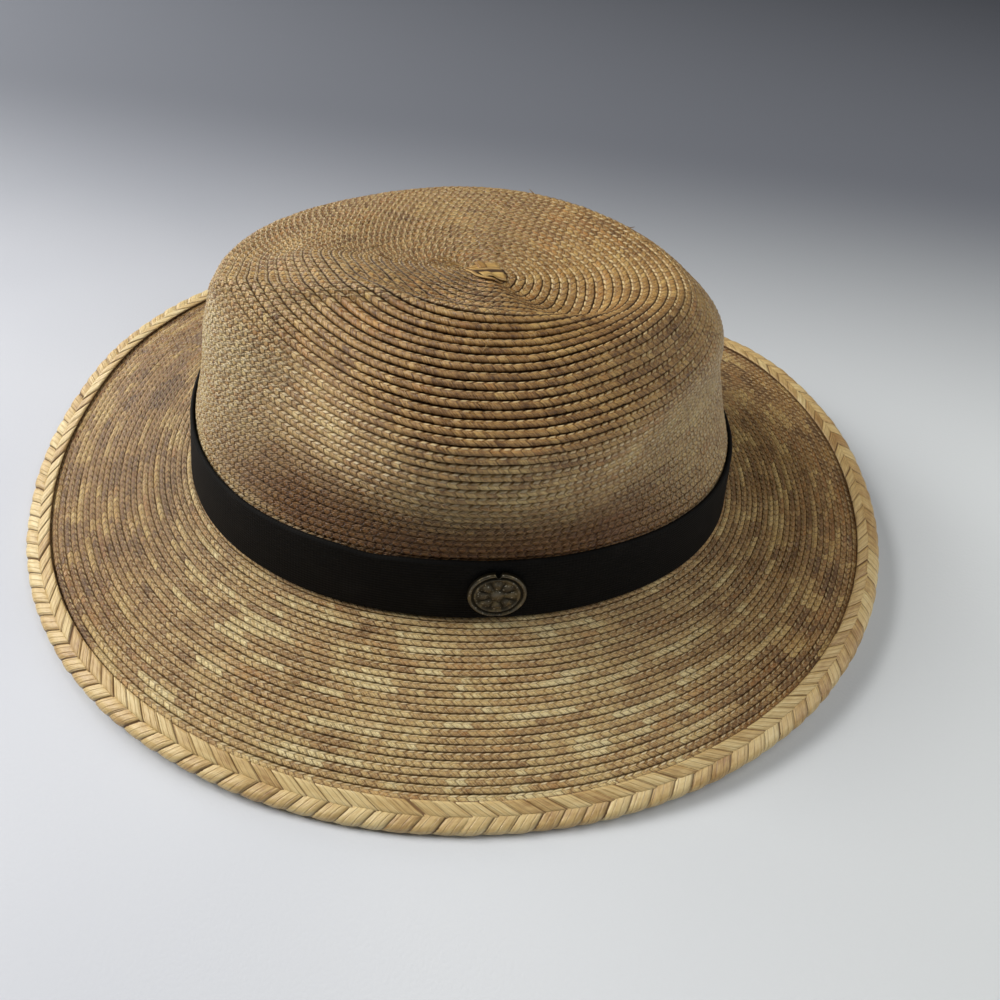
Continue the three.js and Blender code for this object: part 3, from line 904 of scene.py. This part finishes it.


# The first ribbon is the dark slit that shows between the tucked ends, a strip of painted shade
tip_ribbon([(-4.6, -3.3), (0.4, 0), (5.4, 3.4)], 1.5, 0.25)
tip_ribbon([(-5.6, -0.6), (-1.2, 2.5), (3.0, 5.4)], 2.2, 0.5)
tip_ribbon([(-1.6, -5.0), (1.9, -2.5), (6.2, 0.2)], 2.0, 0.5)
tip_ribbon([(-3.0, 5.8), (-2.0, 3.4), (-1.3, 1.2)], 1.3, 0.9)
tip_ribbon([(-6.2, -3), (-3, -6.6), (1, -7.8), (5, -6.2)], 0.9, 0.3)
for _ in range(curl_count):
    right, back = chance.uniform(-17, -9), chance.uniform(0, 8)
    curl_angles = np.linspace(0, chance.uniform(2, 5), 6)
    curl = [(right + 2.2 * math.cos(a), back + 1.6 * math.sin(a)) for a in curl_angles]
    tip_ribbon(curl, 0.16, 0.7)
for number in range(fibre_count):
    start_down = chance.uniform(3, 42) if number < fibres_on_crown else chance.uniform(57, 81)
    start_bearing = chance.uniform(-180, 180)
    length = chance.uniform(1.5, 5.5)
    heading = chance.uniform(0, 2 * math.pi)
    bend = chance.uniform(-0.5, 0.5)
    at = np.linspace(0, 1, fibre_steps)
    reach = wall_reach if start_down > 20 else 20 + start_down * row_step
    turning = heading + bend * at
    down = start_down + np.cumsum(np.cos(turning)) * length / fibre_steps / row_step
    bearing = start_bearing + np.degrees(np.cumsum(np.sin(turning)) * length / fibre_steps / reach)
    above = 0.1 + chance.uniform(0.4, 1.6) * at ** 1.5
    edges = []
    for aside, lift in ((-1, 0), (-0.4, 0.06), (0.4, 0.06), (1, 0)):
        side_bearing = bearing + np.degrees(aside * fibre_half / reach)
        edges.append(on_hat(side_bearing, down + aside * fibre_half / row_step, above + lift))
    ribbons.append(np.stack(edges, 1))

# Every ribbon is closed by a flat underside, so that a section of it is a ring of eight points
ring_size = 8
side_of = np.array([0.08, 0.35, 0.65, 0.92, 0.92, 0.65, 0.35, 0.08])
start_cap = [[0, 1, 6, 7], [1, 2, 5, 6], [2, 3, 4, 5]]
loose_points, loose_faces, loose_maps, strip_maps = [], [], [], []
taken = 0
for number, top in enumerate(ribbons):
    long = len(top)
    under = top - np.array([0, 0, ribbon_foot])
    ring = np.concatenate([top, under[:, ::-1]], 1)
    i, j = np.indices((long - 1, ring_size)).reshape(2, -1)
    k = (j + 1) % ring_size
    here, ahead = i * ring_size, (i + 1) * ring_size
    body = np.stack([here + j, here + k, ahead + k, ahead + j], -1)
    end_cap = [[(long - 1) * ring_size + corner for corner in face] for face in start_cap]
    quads = np.concatenate([body, np.array([face[::-1] for face in start_cap] + end_cap)])
    # The first ribbon's map lies on the braid's row edge, so it takes the painted row-gap shade
    along_leaf = np.linspace(0.46, 0.86, long) * (number > 0)
    vertex_map = np.stack([np.tile(side_of, long), np.repeat(along_leaf, ring_size)], -1)
    ribbon_tint = [chance.uniform(0.5, 0.75), chance.uniform(0, 0.7)]
    loose_points.append(ring.reshape(-1, 3))
    loose_faces.append(quads + taken)
    loose_maps.append(vertex_map[quads].reshape(-1, 2))
    strip_maps.append(np.tile([ribbon_tint], (quads.size, 1)))
    taken += long * ring_size
plump_map = np.ones((4 * sum(map(len, loose_faces)), 2))
loose = new_piece(
    "loose_ends", np.concatenate(loose_points) * mm, [np.concatenate(loose_faces)], palm_braid,
    {"Braid": loose_maps, "Strip": strip_maps, "Pinch": [plump_map]},
)
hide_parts("straw_body")
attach(loose, "root")

# Hat band: a loop of black woven elastic, ribbed lengthways. It is drawn over the crown and
# holds to the crown's foot by its own stretch.
band_steps = 480
band_ribs = 22
band_gap = 0.35
band_thick = 1.5
band_round = 0.15
band_lift = 0.6
band_rise = band_height - band_lift - 0.1
band_loop = 588
band_bearing = np.arange(band_steps) * 360 / band_steps - 180
band_share = np.linspace(0, 1, band_ribs * 2 + 1)
chance = np.random.default_rng(21)
slack = np.interp(band_bearing, np.linspace(-180, 180, 60), chance.uniform(-0.25, 0.25, 60), period=360)
dip = -0.9 * np.exp(-((band_bearing + 12) / 4.5) ** 2)


def band_ring(share, outward):
    """One ring of the band: its top edge is slack and dips a little at the front."""
    height_mm = band_lift + share * band_rise + share ** 4 * (dip + slack)
    return on_band_wall(band_bearing, height_mm / band_height, outward)


band_rings = []
for share in band_share:
    rib = 0.10 * math.sin(share * band_ribs * 2 * math.pi) if 0 < share < 1 else -0.35
    band_rings.append(band_ring(share, band_gap + band_thick - band_round + rib))
band_rings += [band_ring(share, band_gap) for share in (1, 0)]
band_points = (np.stack(band_rings, 1) + hat_middle / mm) * mm
rings = band_points.shape[1]
i, j = np.indices((band_steps, rings)).reshape(2, -1)
after = (i + 1) % band_steps
k = (j + 1) % rings
band_faces = np.stack([i * rings + j, after * rings + j, after * rings + k, i * rings + k], -1)
around_mm = np.arange(band_steps) * band_loop / band_steps
next_mm = around_mm + band_loop / band_steps
share_of = np.concatenate([band_share, [1, 0]])
weave_map = np.stack([
    np.stack([around_mm[i], share_of[j]], -1),
    np.stack([next_mm[i], share_of[j]], -1),
    np.stack([next_mm[i], share_of[k]], -1),
    np.stack([around_mm[i], share_of[k]], -1),
], 1)

elastic_dark = (0.002, 0.0018, 0.0016, 1)
elastic_dusty = (0.009, 0.008, 0.007, 1)
elastic = Finish("black_elastic")
band_place = elastic.object_place()
weave_along, weave_up, _ = elastic.parts(elastic.uv("Weave"))
rib_wave = (weave_up * band_ribs * 2 * math.pi).maths("SINE")
cross_wave = (weave_along * 6.0).maths("SINE")
fuzz = elastic.noise(band_place, 1400, 3)
dust = elastic.noise(band_place, 90, 4, 0.6)
band_colour = elastic.mix(dust.between(0.5, 0.75) * 0.5 + fuzz * 0.3, elastic_dark, elastic_dusty)
band_bump = elastic.bump(0.6, 0.0002, rib_wave * 0.5 + cross_wave * 0.2 + fuzz * 0.6)
black_elastic = elastic.surface(
    {"Base Color": band_colour, "Roughness": 0.8, "Specular IOR Level": 0.14}, band_bump
)
band = new_piece(
    "elastic_band", band_points.reshape(-1, 3), [band_faces], black_elastic,
    {"Weave": [weave_map.reshape(-1, 2)]},
)
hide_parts("hat_band")
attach(band, "root")

# Medallion: a small cast disc with a raised rim, a groove and a worn eight-petal flower. It is
# sewn to the band through the notches in its top and foot.
medal_bearing = 10.6
medal_radius = 9
medal_sides = 144
medal_seat = 2.2
band_foot = 0.5

# The disc from its middle to its edge: distance out and height of the face
medal_profile = np.array([
    [0.0, 1.5], [0.5, 1.5], [1.0, 1.46], [1.5, 1.38], [1.9, 1.22], [2.3, 1.1], [2.8, 1.1],
    [3.4, 1.12], [4.0, 1.15], [4.6, 1.15], [5.2, 1.12], [5.8, 1.1], [6.3, 1.15], [6.6, 1.32],
    [6.9, 1.34], [7.2, 0.8], [7.6, 0.8], [8.2, 1.48], [8.6, 1.5], [8.85, 1.3], [9.0, 1.0],
])
medal_reach, medal_height = medal_profile.T
angle = np.arange(medal_sides) * 2 * math.pi / medal_sides
notch = 1.7 * np.clip((np.abs(np.sin(angle)) - 0.992) / 0.008, 0, 1)
notch = notch * np.where(np.sin(angle) > 0, 1, 0.4)
petal_share = np.exp(-((medal_reach - 4.4) / 1.5) ** 2) * 0.42
petals = np.abs(np.cos(4 * angle)) ** 0.6 * 2 - 1
vein = -0.14 * np.exp(-((np.cos(8 * angle) - 1) / 0.12) ** 2)
rows = []
for reach, height_mm, depth in zip(medal_reach[1:], medal_height[1:], petal_share[1:]):
    r = np.minimum(reach, medal_radius - notch)
    face_height = height_mm + depth * (petals * 0.6 + vein)
    rows.append(np.stack([r * np.cos(angle), r * np.sin(angle), face_height], -1))
rows.append(rows[-1] * [1, 1, 0])
disc = np.stack(rows, 1)
poles = np.array([[0, 0, medal_height[0]], [0, 0, 0]])
flat_points = np.concatenate([disc.reshape(-1, 3), poles])

# It lies against the band's front, square to it
medal_at = np.array([medal_bearing])
lower = on_band_wall(medal_at, 0.0, 0.0)[0]
upper = on_band_wall(medal_at, 1.0, 0.0)[0]
centre = on_band_wall(medal_at, 0.5 + band_foot / band_height / 2, medal_seat)[0]
_, out = oval_at(medal_at, foot_half_length, foot_half_width)
up = (upper - lower) / np.linalg.norm(upper - lower)
across_medal = np.cross(up, out[0])
across_medal /= np.linalg.norm(across_medal)
facing = np.cross(across_medal, up)
medal_axes = np.stack([across_medal, up, facing])
medal_points = (flat_points @ medal_axes + centre + hat_middle / mm) * mm
ring_count = disc.shape[1]
i, j = np.indices((medal_sides, ring_count - 1)).reshape(2, -1)
here, after = i * ring_count + j, (i + 1) % medal_sides * ring_count + j
medal_quads = np.stack([here, here + 1, after + 1, after], -1)
here = np.arange(medal_sides) * ring_count
after = np.roll(here, -1)
top_pole = np.full(medal_sides, len(medal_points) - 2)
medal_tris = np.concatenate([
    np.stack([top_pole, here, after], -1),
    np.stack([here + ring_count - 1, top_pole + 1, after + ring_count - 1], -1),
])
heights = flat_points[:, 2]
face_map = [
    np.stack([heights[faces], heights[faces] * 0], -1).reshape(-1, 2) for faces in (medal_quads, medal_tris)
]

metal_dark = (0.022, 0.018, 0.010, 1)
metal_worn = (0.13, 0.115, 0.085, 1)
metal_brassy = (0.20, 0.155, 0.075, 1)
metal_bright = (0.62, 0.58, 0.48, 1)
metal = Finish("aged_metal")
metal_place = metal.object_place()
tarnish = metal.noise(metal_place, 380, 4, 0.6)
pits = metal.noise(metal_place, 1500, 3, 0.6)
relief, _, _ = metal.parts(metal.uv("Face"))
worn = relief.between(1.0, 1.55) * (0.5 + tarnish)
brassy = tarnish.between(0.5, 0.62) * relief.between(0.95, 1.2) * 0.5
bright = pits.between(0.60, 0.70) * relief.between(1.0, 1.2) * 0.7
metal_colour = metal.mix(worn, metal_dark, metal_worn)
metal_colour = metal.mix(brassy, metal_colour, metal_brassy)
metal_colour = metal.mix(bright, metal_colour, metal_bright)
metal_bump = metal.bump(0.5, 0.0001, pits + tarnish)
aged_metal = metal.surface(
    {"Base Color": metal_colour, "Metallic": 0.85, "Roughness": 0.52 - worn * 0.2}, metal_bump
)
medal = new_piece("concho", medal_points, [medal_quads, medal_tris], aged_metal, {"Face": face_map})
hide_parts("medallion")
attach(medal, "root")
